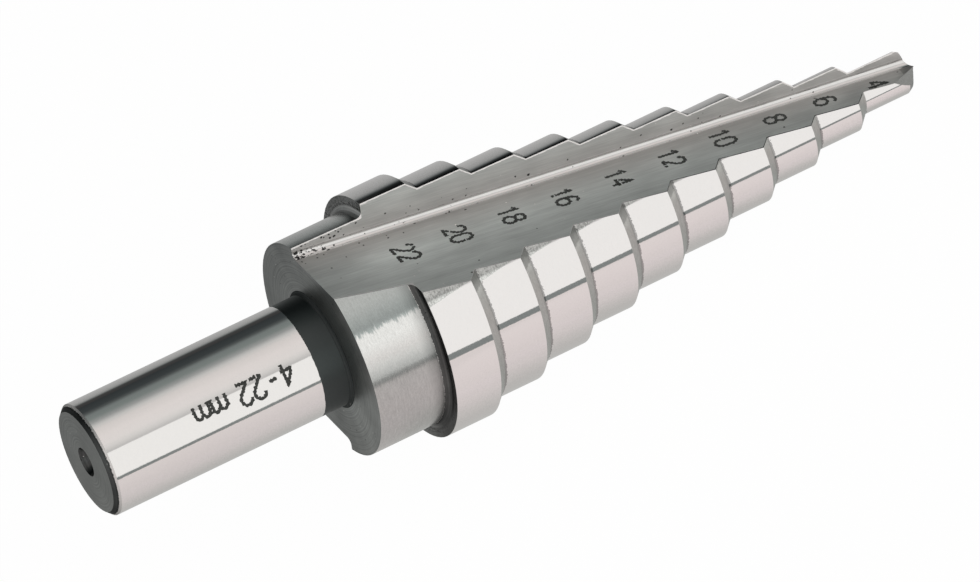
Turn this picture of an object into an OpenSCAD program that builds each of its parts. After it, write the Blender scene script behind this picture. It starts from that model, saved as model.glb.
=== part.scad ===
// Step drill: ten drilling diameters on one high speed steel body, with two
// straight V flutes, a collar and a plain round shank.
// The drill is shaped upright on its own axis, from the shank end (z = 0) to
// the point, and is then laid down as it rests on a table.
// Angles around the axis count from the flute plane, the plane through the axis
// that the root line of the near flute runs along. Seen from the shank end they
// run clockwise, which is the way the drill turns when it cuts.

/* [Steps] */
// Number of drilling diameters
step_count = 10; // [5:1:12]
// Diameter of the smallest step, the pilot
pilot_d = 4; // [3.5:0.25:6]
// Growth in diameter from one step to the next
step_gain = 2; // [1.5:0.25:2.5]
// Length from one step to the next
step_pitch = 5; // [4:0.25:8]
// Length added to the largest step, at its rear face
largest_extra = 0.2; // [0:0.05:2]
// Length of the pilot, up to where its lips would meet its land
pilot_land = 4.75; // [4:0.05:8]
// Length of land lost to the chamfer on the pilot's cutting corners
pilot_chamfer = 0.3; // [0.1:0.05:0.6]
// Slope of that chamfer, measured from the axis
chamfer_angle = 30; // [20:5:40]
// Slope of the shoulders between steps, measured from the axis
shoulder_angle = 45; // [35:5:60]

/* [Shank and collar] */
// Diameter of the shank
shank_d = 10; // [6:0.5:13]
// Length of the shank, from its end to the collar
shank_l = 22.3; // [15:0.1:40]
// Chamfer on the shank's end
shank_chamfer = 0.5; // [0.2:0.1:1]
// Diameter of the collar behind the largest step
collar_d = 19.2; // [16:0.1:21]
// Length of the collar
collar_l = 6.55; // [3:0.05:12]
// Fillet between the shank and the collar
shank_fillet = 0.3; // [0.2:0.1:1]
// Fillet between the collar and the largest step
collar_fillet = 0.5; // [0.2:0.1:0.8]
// Diameter of the centre hole in the shank's end
centre_d = 1.25; // [1:0.05:2]
// Diameter of the centre hole's countersink at the face
centre_sink_d = 2.6; // [2.1:0.1:4]
// Included angle of the countersink
centre_sink_angle = 60; // [60:15:90]
// Depth of the straight part of the centre hole
centre_depth = 2; // [1:0.1:4]

/* [Flutes] */
// Depth of a flute below the largest cutting circle, at the largest step
flute_depth = 3.45; // [2.5:0.05:4.5]
// Thickness of the core left between the flutes at the point
core_tip = 0.15; // [0.1:0.05:1]
// Included angle between a flute's two walls
flute_angle = 84; // [75:1:95]
// Angle by which the broad wall leans away from square to the flute plane
face_lean = 10.3; // [8:0.1:18]
// Radius along the root of a flute
root_r = 0.5; // [0.4:0.05:1]
// Distance of the root line ahead of the plane through the axis beside it
root_ahead = -0.12; // [-0.2:0.02:0.3]

/* [Relief and point] */
// Shift of each ground half towards its own flute, which backs off the lands
relief_shift = 0.19; // [0.05:0.01:0.3]
// The same shift for the pilot, whose land is backed off further
pilot_shift = 0.34; // [0.2:0.02:0.5]
// Angle between that shift and the cutting edge
relief_lead = 30; // [20:1:40]
// Point angle over the two lips
point_angle = 118; // [110:2:140]
// Shift of each flank's cone ahead of its lip, which backs off the lip
lip_shift = 0.35; // [0.2:0.05:0.5]
// Slope of the thinned faces at the point, measured from the axis
thinning_angle = 23; // [20:1:35]
// Angle around the axis towards which a thinned face looks
thinning_turn = 46; // [40:1:60]
// Reach of a thinned face back along its lip, from the plane of its slope
thinning_reach = 0.6; // [0.3:0.05:0.9]
// Width of the edge left between the thinned faces
chisel_w = 0.1; // [0.06:0.02:0.3]

/* [Hidden] */
$fn = 96;

// overlap of a cutting solid past the surface it leaves through
over = 1;
// angle by which a ground half runs on past the parting plane, into the flutes
lap = 10;
half_turn = 180;

// radii and heights along the axis
shank_r = shank_d / 2;
collar_r = collar_d / 2;
pilot_r = pilot_d / 2;
step_rise = step_gain / 2;
largest_r = pilot_r + (step_count - 1) * step_rise;
shoulder_l = step_rise / tan(shoulder_angle);
collar_z = shank_l;
body_z = collar_z + collar_l;
steps_z = body_z + largest_extra;
pilot_z = steps_z + (step_count - 1) * step_pitch;
corner_z = pilot_z + pilot_land;
chamfer_z = corner_z - pilot_chamfer;
cone_slope = 1 / tan(point_angle / 2);
cone_top_z = corner_z + norm([pilot_r, lip_shift]) * cone_slope;
apex_z = cone_top_z - lip_shift * cone_slope;
chamfer_in = (cone_top_z - chamfer_z) * tan(chamfer_angle);
// how far the last shoulder runs on inside the pilot
inside = pilot_r / 2;

// root line of a flute: its distance out from the axis at both ends, and slope
root_back = largest_r - flute_depth + root_r;
root_tip = sqrt(pow(core_tip / 2 + root_r, 2) - pow(root_ahead, 2));
root_slope = atan((root_back - root_tip) / (apex_z - body_z));

// outward normals of the two walls: the angle of each in the cutter's section
face_turn = face_lean;
rake_turn = face_lean + half_turn - flute_angle;

function wall_normal(turn) =
    [cos(turn) * cos(root_slope), sin(turn), cos(turn) * sin(root_slope)];

// distance of a wall from the axis in the section at height z
function wall_offset(turn, z) =
    let (n = wall_normal(turn))
    (n * [root_back, root_ahead, body_z] - root_r - n[2] * z) / norm([n[0], n[1]]);

// direction around the axis towards which a wall looks
function wall_look(turn) = atan2(wall_normal(turn)[1], wall_normal(turn)[0]);

// angle at which a circle of radius r meets a wall; side is 1 ahead of the
// direction the wall looks in and -1 behind it
function wall_meets(turn, r, z, side) =
    wall_look(turn) + side * acos(wall_offset(turn, z) / r);

// the parting plane of the two ground halves, in the middle of the flutes
edge_turn = wall_meets(rake_turn, largest_r, body_z, -1);
parting_turn = edge_turn + relief_lead;

// radius of a ground half about its axis, for a cutting radius r and a shift
function ground_r(r, shift = relief_shift) =
    sqrt(r * r - 2 * r * shift * cos(relief_lead) + shift * shift);

// distance from the drill's axis to a land of cutting radius r, for the half
// that lies ahead of the near flute, at an angle around the axis
function heel_r(r, turn) =
    let (a = turn - parting_turn - half_turn)
    relief_shift * cos(a) + sqrt(pow(ground_r(r), 2) - pow(relief_shift * sin(a), 2));

function on_circle(r, turn, z) = [r * cos(turn), r * sin(turn), z];

// the drill rests on three corners of one flute: the cutting corner and the
// heel corner at the front of the largest land, and the pilot's cutting corner
land_z = steps_z + step_pitch - shoulder_l;
heel_guess = wall_meets(face_turn, largest_r, land_z, 1);
heel_radius = heel_r(largest_r, heel_guess);
heel_turn = wall_meets(face_turn, heel_radius, land_z, 1);
rest_cut = on_circle(largest_r, wall_meets(rake_turn, largest_r, land_z, -1), land_z);
rest_heel = on_circle(heel_radius, heel_turn, land_z);
rest_pilot = on_circle(pilot_r, wall_meets(rake_turn, pilot_r, chamfer_z, -1), chamfer_z);
rest_cross = cross(rest_heel - rest_cut, rest_pilot - rest_cut);
rest_normal = rest_cross / norm(rest_cross);
rest_pitch = asin(rest_normal[2]);
rest_turn = atan2(rest_normal[1], rest_normal[0]);

// the origin lies on the axis, halfway along the shank's ground cylinder
origin_z = (shank_chamfer + shank_l - shank_fillet) / 2;

// shank, with its end chamfer and the fillet into the collar
module shank() {
    rotate_extrude() {
        difference() {
            polygon([
                [0, 0],
                [shank_r - shank_chamfer, 0],
                [shank_r, shank_chamfer],
                [shank_r, collar_z - shank_fillet],
                [shank_r + shank_fillet, collar_z],
                [shank_r + shank_fillet, collar_z + over],
                [0, collar_z + over]
            ]);
            translate([shank_r + shank_fillet, collar_z - shank_fillet])
                circle(r = shank_fillet);
        }
    }
}

// collar, with the fillet into the rear face of the largest step
module collar() {
    rotate_extrude() {
        difference() {
            polygon([
                [0, collar_z],
                [collar_r, collar_z],
                [collar_r, body_z - collar_fillet],
                [collar_r + collar_fillet, body_z],
                [collar_r + collar_fillet, body_z + over],
                [0, body_z + over]
            ]);
            translate([collar_r + collar_fillet, body_z - collar_fillet])
                circle(r = collar_fillet);
        }
    }
}

// outline of the steps above the pilot: each land, and the shoulder down to the
// next; the last shoulder runs on inside the pilot
function step_outline() = [
    for (i = [0 : step_count - 2])
        let (
            r = ground_r(largest_r - i * step_rise),
            z = steps_z + i * step_pitch
        )
        each [[r, i == 0 ? body_z : z], [r, z + step_pitch - shoulder_l]],
    [ground_r(pilot_r) - inside, pilot_z + inside * shoulder_l / step_rise]
];

// outline of the pilot: its land and the chamfer on its cutting corner
function pilot_outline() =
    let (r = ground_r(pilot_r, pilot_shift))
    [[r, pilot_z - over], [r, chamfer_z], [r - chamfer_in, cone_top_z]];

// half a turned blank about an axis that is shifted along the parting plane
module half_blank(shift, outline) {
    rotate([0, 0, parting_turn])
        translate([shift, 0, 0])
            rotate([0, 0, half_turn - lap])
                rotate_extrude(angle = half_turn + 2 * lap)
                    polygon(concat(
                        [[0, outline[0][1]]],
                        outline,
                        [[0, outline[len(outline) - 1][1]]]
                    ));
}

// one ground half of the stepped body; the shift of its axis makes its lands
// fall away behind the cutting edge
module ground_half() {
    intersection() {
        union() {
            half_blank(relief_shift, step_outline());
            half_blank(pilot_shift, pilot_outline());
        }
        flank_cone();
    }
}

// cone of the point, set ahead of the lip
module flank_cone() {
    cone_h = cone_top_z - body_z + over;
    rotate([0, 0, edge_turn + half_turn / 2])
        translate([lip_shift, 0, body_z - over])
            cylinder(h = cone_h, r1 = cone_h / cone_slope, r2 = 0);
}

// milling cutter for one flute: a V with a rounded root, run along the root line
module flute_cutter() {
    reach = 2 * largest_r;
    run = apex_z - collar_z + reach;
    face_foot = -root_r * [cos(face_turn), sin(face_turn)];
    rake_foot = -root_r * [cos(rake_turn), sin(rake_turn)];
    face_run = reach * [-sin(face_turn), cos(face_turn)];
    rake_run = reach * [sin(rake_turn), -cos(rake_turn)];
    translate([root_back, root_ahead, body_z])
        rotate([0, -root_slope, 0])
            translate([0, 0, collar_z - body_z - over])
                linear_extrude(height = run)
                    union() {
                        circle(r = root_r);
                        polygon([
                            [0, 0],
                            face_foot,
                            face_foot + face_run,
                            face_foot + face_run + rake_run,
                            rake_foot + rake_run,
                            rake_foot
                        ]);
                    }
}

// grinding that thins the core at the point
module thinning_cutter() {
    size = 4 * pilot_r;
    rotate([0, 0, thinning_turn])
        translate([chisel_w / 2, 0, apex_z])
            rotate([0, -thinning_angle, 0])
                translate([0, -thinning_reach, -size / 2])
                    cube([size, size, size]);
}

// centre hole that the blank was turned and ground on
module centre_hole() {
    sink_r = centre_sink_d / 2;
    hole_r = centre_d / 2;
    sink_h = (sink_r - hole_r) / tan(centre_sink_angle / 2);
    bottom_h = hole_r / tan(point_angle / 2);
    rotate_extrude()
        polygon([
            [0, -over],
            [sink_r, -over],
            [sink_r, 0],
            [hole_r, sink_h],
            [hole_r, sink_h + centre_depth],
            [0, sink_h + centre_depth + bottom_h]
        ]);
}

module both_sides() {
    children();
    rotate([0, 0, half_turn])
        children();
}

// what was turned: the shank and the collar, with the flutes run out through it
module turned_end() {
    difference() {
        union() {
            shank();
            collar();
        }
        both_sides()
            flute_cutter();
        centre_hole();
    }
}

// what was ground: the stepped body and its point
module stepped_body() {
    difference() {
        both_sides()
            ground_half();
        both_sides() {
            flute_cutter();
            thinning_cutter();
        }
    }
}

module drill_on_axis() {
    turned_end();
    stepped_body();
}

// the drill as it lies: one flute down, resting on its edges and on the point
module step_drill() {
    color([0.72, 0.71, 0.7])
        rotate([0, 90 + rest_pitch, 0])
            rotate([0, 0, half_turn - rest_turn])
                translate([0, 0, -origin_z])
                    drill_on_axis();
}

step_drill();
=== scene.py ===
import bpy
import bmesh
import math
import random
import numpy as np
from mathutils import Matrix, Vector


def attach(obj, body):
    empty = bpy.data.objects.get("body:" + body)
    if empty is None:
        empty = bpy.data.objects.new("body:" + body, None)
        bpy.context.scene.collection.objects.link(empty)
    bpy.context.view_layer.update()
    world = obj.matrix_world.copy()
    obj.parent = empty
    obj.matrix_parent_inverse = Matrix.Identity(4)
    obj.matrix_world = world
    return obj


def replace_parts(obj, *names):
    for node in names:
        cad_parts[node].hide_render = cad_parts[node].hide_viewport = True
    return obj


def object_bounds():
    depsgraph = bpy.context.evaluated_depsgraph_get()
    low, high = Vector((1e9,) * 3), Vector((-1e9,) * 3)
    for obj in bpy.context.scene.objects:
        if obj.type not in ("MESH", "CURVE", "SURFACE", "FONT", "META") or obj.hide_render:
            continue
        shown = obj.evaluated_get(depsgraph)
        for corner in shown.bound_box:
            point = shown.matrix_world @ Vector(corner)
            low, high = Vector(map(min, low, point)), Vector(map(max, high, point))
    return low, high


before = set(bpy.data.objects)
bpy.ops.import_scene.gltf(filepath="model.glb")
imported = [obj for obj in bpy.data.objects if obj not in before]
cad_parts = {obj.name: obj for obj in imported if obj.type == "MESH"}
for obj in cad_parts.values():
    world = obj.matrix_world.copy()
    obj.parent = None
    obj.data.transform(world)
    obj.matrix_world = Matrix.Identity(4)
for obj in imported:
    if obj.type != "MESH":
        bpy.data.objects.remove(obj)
cadBox = [list(corner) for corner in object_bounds()]
print("frame loaded")

# sizes of the drill in millimetres and degrees
drill = {
    "steps": 10, "pilotD": 4.0, "stepGain": 2.0, "stepPitch": 5.0, "largestExtra": 0.2,
    "pilotLand": 4.75, "pilotChamfer": 0.3, "chamferAngle": 30.0, "shoulderAngle": 45.0,
    "shankD": 10.0, "shankL": 22.3, "shankChamfer": 0.5, "shankFillet": 0.3,
    "collarD": 19.2, "collarL": 6.55, "collarFillet": 0.5,
    "centreD": 1.25, "centreSinkD": 2.6, "centreSinkAngle": 60.0, "centreDepth": 2.0,
    "fluteDepth": 3.45, "coreTip": 0.15, "fluteAngle": 84.0, "faceLean": 10.3,
    "rootR": 0.5, "rootAhead": -0.12,
    "reliefShift": 0.19, "pilotShift": 0.34, "reliefLead": 30.0,
    "pointAngle": 118.0, "lipShift": 0.35,
    "thinningAngle": 23.0, "thinningTurn": 46.0, "thinningReach": 0.6, "chiselW": 0.1,
    "restPitch": 9.8928, "restTurn": 33.0159, "originZ": 11.25,
}


def cosSin(degrees):
    return math.cos(math.radians(degrees)), math.sin(math.radians(degrees))


def turnZ(degrees):
    c, s = cosSin(degrees)
    return np.array([[c, -s, 0], [s, c, 0], [0, 0, 1.0]])


def turnY(degrees):
    c, s = cosSin(degrees)
    return np.array([[c, 0, s], [0, 1.0, 0], [-s, 0, c]])


def unit(v):
    v = np.asarray(v, float)
    return v / np.linalg.norm(v)


def lengths(rows):
    return np.maximum(np.linalg.norm(rows, axis=1), 1e-9)[:, None]


def addObject(name, data):
    thing = bpy.data.objects.new(name, data)
    bpy.context.scene.collection.objects.link(thing)
    return thing


# the drill's own frame: z runs along its axis from the shank end, and angles
# count from the flute plane; the pieces are worked out in it and then laid down
layDown = turnY(90 + drill["restPitch"]) @ turnZ(180 - drill["restTurn"])
axisDir = layDown @ np.array([0, 0, 1.0])
upDir = unit(np.array([0, 0, 1.0]) - axisDir[2] * axisDir)
placeDrill = np.eye(4)
placeDrill[:3, :3] = layDown
placeDrill[:3, 3] = -layDown @ np.array([0, 0, drill["originZ"] / 1000])
placeDrill = Matrix(placeDrill.tolist())


# camera: where the shank's end lies in the picture, how many metres away it is,
# how the axis runs from there, and the point on it that the camera faces
cameraView = {
    "focalPixels": 11090.9, "imageWidth": 980, "imageHeight": 582, "sensorWidth": 36.0, "clip": (0.05, 20.0),
    "shankEndPixel": (86.1, 462.1), "shankEndDistance": 0.90495, "facedAt": 0.04,
    "axisAway": 18.098, "axisRise": 25.61, "turnFromTop": 26.834,
}


def cameraFrame(v):
    awayCos, awaySin = cosSin(v["axisAway"])
    riseCos, riseSin = cosSin(v["axisRise"])
    axisSeen = np.array([riseCos * awayCos, -riseSin * awayCos, awaySin])
    acrossPixels = v["shankEndPixel"][0] - v["imageWidth"] / 2
    downPixels = v["shankEndPixel"][1] - v["imageHeight"] / 2
    endSeen = np.array([acrossPixels, downPixels, v["focalPixels"]]) * v["shankEndDistance"] / v["focalPixels"]
    look = unit(endSeen + v["facedAt"] * axisSeen)
    facing = unit(-look + (look @ axisSeen) * axisSeen)
    side = np.cross(axisSeen, facing)
    turnCos, turnSin = cosSin(v["turnFromTop"])
    facingRow = turnCos * upDir - turnSin * np.array([0, 1.0, 0])
    facingRow = unit(facingRow - (facingRow @ axisDir) * axisDir)
    sideRow = np.cross(axisDir, facingRow)
    seenToRow = np.column_stack([axisDir, facingRow, sideRow]) @ np.column_stack([axisSeen, facing, side]).T
    endRow = -axisDir * drill["originZ"] / 1000
    return seenToRow, endRow - seenToRow @ endSeen, facingRow, sideRow


def makeCamera(v):
    seenToRow, place, facingRow, sideRow = cameraFrame(v)
    data = bpy.data.cameras.new("studioCamera")
    data.sensor_fit, data.sensor_width = "HORIZONTAL", v["sensorWidth"]
    data.lens = v["focalPixels"] / v["imageWidth"] * v["sensorWidth"]
    data.clip_start, data.clip_end = v["clip"]
    camera = addObject("studioCamera", data)
    m = np.eye(4)
    m[:3, :3], m[:3, 3] = seenToRow * (1, -1, -1), place
    camera.matrix_world = Matrix(m.tolist())
    bpy.context.scene.camera = camera
    return facingRow, sideRow


facingRow, sideRow = makeCamera(cameraView)
print("camera made")


# the lines and planes that the flutes and the steps follow
def measureDrill(d):
    rise = d["stepGain"] / 2
    m = {"rise": rise, "largestR": d["pilotD"] / 2 + (d["steps"] - 1) * rise}
    m["shoulderL"] = rise / math.tan(math.radians(d["shoulderAngle"]))
    m["bodyZ"] = d["shankL"] + d["collarL"]
    m["stepsZ"] = m["bodyZ"] + d["largestExtra"]
    m["cornerZ"] = m["stepsZ"] + (d["steps"] - 1) * d["stepPitch"] + d["pilotLand"]
    m["chamferZ"] = m["cornerZ"] - d["pilotChamfer"]
    m["slope"] = 1 / math.tan(math.radians(d["pointAngle"] / 2))
    m["coneTop"] = m["cornerZ"] + math.hypot(d["pilotD"] / 2, d["lipShift"]) * m["slope"]
    m["apexZ"] = m["coneTop"] - d["lipShift"] * m["slope"]
    rootBack = m["largestR"] - d["fluteDepth"] + d["rootR"]
    rootTip = math.sqrt((d["coreTip"] / 2 + d["rootR"]) ** 2 - d["rootAhead"] ** 2)
    lean = math.atan((rootBack - rootTip) / (m["apexZ"] - m["bodyZ"]))

    def wallNormal(turn):
        t = math.radians(turn)
        return np.array([math.cos(t) * math.cos(lean), math.sin(t), math.cos(t) * math.sin(lean)])

    m["rootPoint"] = np.array([rootBack, d["rootAhead"], m["bodyZ"]])
    m["rootLine"] = np.array([-math.sin(lean), 0, math.cos(lean)])
    m["broad"] = wallNormal(d["faceLean"])
    m["narrow"] = wallNormal(d["faceLean"] + 180 - d["fluteAngle"])
    m["broadOut"] = np.cross(m["rootLine"], m["broad"])
    m["narrowOut"] = np.cross(m["narrow"], m["rootLine"])
    look = math.degrees(math.atan2(m["narrow"][1], m["narrow"][0]))
    offset = (m["narrow"] @ m["rootPoint"]) - d["rootR"] - m["narrow"][2] * m["bodyZ"]
    offset /= math.hypot(m["narrow"][0], m["narrow"][1])
    m["edgeTurn"] = look - math.degrees(math.acos(offset / m["largestR"]))
    m["parting"] = m["edgeTurn"] + d["reliefLead"]
    return m


marks = measureDrill(drill)


def groundR(cut, shift):
    lead = math.radians(drill["reliefLead"])
    return math.sqrt(cut ** 2 - 2 * cut * shift * math.cos(lead) + shift ** 2)


# every ground or turned surface: its finish, the distance from it, its normals
# and the heights between which it lies; points are in millimetres
def drillSurfaces(d, m):
    found = []
    up = np.array([0, 0, 1.0])
    slack, beyond = 0.01, 99.0  # to either side of a flat face, and past the point
    thinningZ = m["cornerZ"] - 6  # the thinning lies above this height
    lastShoulder = 2.1  # the last shoulder runs on until it meets the pilot land
    pilotSlack = 0.3  # the shifted circles meet a little off the drawn height

    def keep(finish, distance, normals, low, high):
        found.append({"finish": finish, "distance": distance, "normals": normals, "low": low, "high": high})

    def plane(finish, normal, through, low, high):
        n = unit(normal)
        keep(finish, lambda p: (p - through) @ n, lambda p: np.tile(n, (len(p), 1)), low, high)

    def turned(finish, centre, radiusAt, normalZ, low, high, inward=False):
        c = np.array([centre[0], centre[1], 0.0])
        flat = math.sqrt(1 - normalZ ** 2)

        def distance(p):
            return (np.hypot(p[:, 0] - c[0], p[:, 1] - c[1]) - radiusAt(p[:, 2])) * flat

        def normals(p):
            q = p - c
            q[:, 2] = 0
            q *= flat / lengths(q) * (-1 if inward else 1)
            q[:, 2] = normalZ
            return q

        keep(finish, distance, normals, low, high)

    def fillet(finish, circleR, circleZ, r):
        def distance(p):
            return np.hypot(np.hypot(p[:, 0], p[:, 1]) - circleR, p[:, 2] - circleZ) - r

        def normals(p):
            radius = np.hypot(p[:, 0], p[:, 1])
            q = np.column_stack([p[:, 0] / radius, p[:, 1] / radius, np.zeros(len(p))]) * (circleR - radius)[:, None]
            q[:, 2] = circleZ - p[:, 2]
            return q / lengths(q)

        keep(finish, distance, normals, circleZ, circleZ + r)

    plane("face", -up, 0 * up, -1, slack)
    for finish, z in (("rear", d["shankL"]), ("pitted", m["bodyZ"])):
        plane(finish, -up, up * z, z - slack, z + slack)
    for half in (0, 180):
        spin = turnZ(half)
        for wall in ("broad", "narrow"):
            normal = spin @ m[wall]
            plane(wall, normal, spin @ m["rootPoint"] - d["rootR"] * normal, d["shankL"], beyond)

        def fromRoot(p, p0=spin @ m["rootPoint"], line=spin @ m["rootLine"]):
            q = p - p0
            return q - np.outer(q @ line, line)

        keep("root", lambda p, f=fromRoot: np.linalg.norm(f(p), axis=1) - d["rootR"],
             lambda p, f=fromRoot: -f(p) / lengths(f(p)), d["shankL"], beyond)
        c, s = cosSin(d["thinningTurn"] + half)
        leanCos, leanSin = cosSin(d["thinningAngle"])
        radial, across = np.array([c, s, 0]), np.array([-s, c, 0])
        corner = radial * d["chiselW"] / 2 + up * m["apexZ"]
        plane("point", radial * leanCos + up * leanSin, corner, thinningZ, beyond)
        plane("pointSide", across, corner - across * d["thinningReach"], thinningZ, beyond)
        aim = np.array(cosSin(m["parting"] + half))
        for i in range(d["steps"] - 1):
            r = groundR(m["largestR"] - i * m["rise"], d["reliefShift"])
            low = m["bodyZ"] if i == 0 else m["stepsZ"] + i * d["stepPitch"]
            high = m["stepsZ"] + (i + 1) * d["stepPitch"] - m["shoulderL"]
            fall = m["rise"] / m["shoulderL"]
            end = high + m["shoulderL"] * (lastShoulder if i == d["steps"] - 2 else 1)
            turned("land", aim * d["reliefShift"], lambda z, r=r: r, 0.0, low, high)
            turned("shoulder", aim * d["reliefShift"], lambda z, r=r, high=high: r - (z - high) * fall,
                   math.sin(math.radians(d["shoulderAngle"])), high, end)
        r = groundR(d["pilotD"] / 2, d["pilotShift"])
        taper = math.tan(math.radians(d["chamferAngle"]))
        low = m["cornerZ"] - d["pilotLand"] - pilotSlack
        turned("land", aim * d["pilotShift"], lambda z, r=r: r, 0.0, low, m["chamferZ"])
        turned("point", aim * d["pilotShift"], lambda z, r=r: r - (z - m["chamferZ"]) * taper,
               math.sin(math.radians(d["chamferAngle"])), m["chamferZ"], beyond)
        lip = np.array(cosSin(m["edgeTurn"] + 90 + half)) * d["lipShift"]
        turned("point", lip, lambda z: (m["coneTop"] - z) / m["slope"],
               math.sin(math.radians(d["pointAngle"] / 2)), m["cornerZ"] - 1, beyond)
    axis, shankR, collarR = (0, 0), d["shankD"] / 2, d["collarD"] / 2
    turned("chamfer", axis, lambda z: shankR - d["shankChamfer"] + z, -math.sqrt(0.5), 0, d["shankChamfer"])
    turned("shank", axis, lambda z: shankR, 0.0, d["shankChamfer"], d["shankL"] - d["shankFillet"])
    turned("collar", axis, lambda z: collarR, 0.0, d["shankL"], m["bodyZ"] - d["collarFillet"])
    sinkR, holeR = d["centreSinkD"] / 2, d["centreD"] / 2
    sinkTan = math.tan(math.radians(d["centreSinkAngle"] / 2))
    sinkH = (sinkR - holeR) / sinkTan
    floorZ = sinkH + d["centreDepth"]
    turned("hole", axis, lambda z: sinkR - z * sinkTan, -math.sin(math.atan(sinkTan)), 0, sinkH, True)
    turned("hole", axis, lambda z: holeR, 0.0, sinkH, floorZ, True)
    turned("hole", axis, lambda z: (floorZ + holeR * m["slope"] - z) / m["slope"],
           -math.sin(math.radians(d["pointAngle"] / 2)), floorZ, beyond, True)
    fillet("neck", shankR + d["shankFillet"], d["shankL"] - d["shankFillet"], d["shankFillet"])
    fillet("fillet", collarR + d["collarFillet"], m["bodyZ"] - d["collarFillet"], d["collarFillet"])
    return found


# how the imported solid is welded, in metres, and how closely a face has to fit
# the surface it is taken for: millimetres off it, bend, and millimetres past its ends
bodyFit = {"weld": 2e-7, "gap": 0.02, "bend": 0.4, "height": 0.03, "gapWeight": 5}


# the finish of each face of the drill, and the true normals at its corners
def sortFaces(mesh, surfaces, fit):
    co = np.zeros(len(mesh.vertices) * 3)
    mesh.vertices.foreach_get("co", co)
    co = co.reshape(-1, 3) * 1000
    corners = np.array([list(face.vertices) for face in mesh.polygons])
    flat = np.array([list(face.normal) for face in mesh.polygons])
    height = co[:, 2][corners]
    best = np.full(len(corners), np.inf)
    pick = np.full(len(corners), -1)
    normals = np.repeat(flat[:, None, :], 3, axis=1)
    for k, s in enumerate(surfaces):
        gap = np.abs(s["distance"](co))[corners].max(1)
        true = s["normals"](co)[corners]
        bend = 1 - np.einsum("fcx,fx->fc", true, flat).min(1)
        score = bend + gap * fit["gapWeight"]
        fits = (gap < fit["gap"]) & (bend < fit["bend"])
        fits &= (height.min(1) > s["low"] - fit["height"]) & (height.max(1) < s["high"] + fit["height"])
        better = fits & (score < best)
        best[better], pick[better], normals[better] = score[better], k, true[better]
    print("faces sorted,", int((pick < 0).sum()), "of", len(pick), "left as they are")
    return ["point" if k < 0 else surfaces[k]["finish"] for k in pick], normals.reshape(-1, 3)


# short words for node trees
def feed(tree, socket, value):
    if isinstance(value, bpy.types.NodeSocket):
        tree.links.new(value, socket)
    else:
        socket.default_value = tuple(float(v) for v in value) if np.ndim(value) else value


def addNode(tree, kind, *values, **settings):
    # the values go into its first sockets
    node = tree.nodes.new(kind)
    for key, value in settings.items():
        setattr(node, key, value)
    for socket, value in zip(node.inputs, values):
        feed(tree, socket, value)
    return node


def calc(tree, operation, a, b=0.0, clamp=False):
    return addNode(tree, "ShaderNodeMath", a, b, operation=operation, use_clamp=clamp).outputs[0]


def plus(tree, a, b):
    return calc(tree, "ADD", a, b)


def minus(tree, a, b):
    return calc(tree, "SUBTRACT", a, b)


def times(tree, a, b):
    return calc(tree, "MULTIPLY", a, b)


def above(tree, a, b):
    return calc(tree, "GREATER_THAN", a, b)


def below(tree, a, b):
    return calc(tree, "LESS_THAN", a, b)


def vectorCalc(tree, operation, a, b=(0, 0, 0)):
    node = addNode(tree, "ShaderNodeVectorMath", a, b, operation=operation)
    return node.outputs["Value" if operation in ("DOT_PRODUCT", "LENGTH") else 0]


def dot(tree, a, b):
    return vectorCalc(tree, "DOT_PRODUCT", a, b)


def scaled(tree, vector, factor):
    # a vector or colour times one value
    node = addNode(tree, "ShaderNodeVectorMath", vector, operation="SCALE")
    feed(tree, node.inputs["Scale"], factor)
    return node.outputs[0]


def combine(tree, x, y, z=0.0):
    return addNode(tree, "ShaderNodeCombineXYZ", x, y, z).outputs[0]


def separate(tree, vector):
    return addNode(tree, "ShaderNodeSeparateXYZ", vector).outputs


def spread(tree, value, low, high, toLow=0.0, toHigh=1.0):
    return addNode(tree, "ShaderNodeMapRange", value, low, high, toLow, toHigh).outputs["Result"]


def fade(tree, value, atZero, atOne):
    return spread(tree, value, 0.0, 1.0, atZero, atOne)


def blendColour(tree, factor, a, b):
    node = addNode(tree, "ShaderNodeMix", data_type="RGBA")
    feed(tree, node.inputs["Factor"], factor)
    for key, colour in (("A", a), ("B", b)):
        feed(tree, node.inputs[key], colour if isinstance(colour, bpy.types.NodeSocket) else (*colour, 1))
    return node.outputs["Result"]


def noiseOf(tree, dimensions="3D", **values):
    node = addNode(tree, "ShaderNodeTexNoise", noise_dimensions=dimensions)
    for key, value in values.items():
        feed(tree, node.inputs[key], value)
    return node.outputs


def rampOf(tree, value, low, high, stops):
    # a colour ramp whose stops are given in the value's own unit, with a colour or one grey level
    node = addNode(tree, "ShaderNodeValToRGB")
    ramp = node.color_ramp.elements
    ramp.remove(ramp[-1])
    for k, (at, *colour) in enumerate(stops):
        stop = ramp[0] if k == 0 else ramp.new((at - low) / (high - low))
        stop.position = (at - low) / (high - low)
        stop.color = (*(colour if len(colour) == 3 else colour * 3), 1)
    feed(tree, node.inputs["Fac"], spread(tree, value, low, high))
    return node.outputs["Color"]


def startGroup(name, inputs, outputs):
    # a node group; a socket is a vector or a value, as what it starts from
    tree = bpy.data.node_groups.new(name, "ShaderNodeTree")
    for way, sockets in (("INPUT", inputs), ("OUTPUT", outputs)):
        for key, value in sockets.items():
            kind = "NodeSocketVector" if np.ndim(value) else "NodeSocketFloat"
            tree.interface.new_socket(name=key, in_out=way, socket_type=kind).default_value = value
    return tree, addNode(tree, "NodeGroupInput").outputs, addNode(tree, "NodeGroupOutput").inputs


def useGroup(tree, group, **values):
    node = addNode(tree, "ShaderNodeGroup", node_tree=group)
    for key, value in values.items():
        feed(tree, node.inputs[key], value)
    return node.outputs


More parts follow.
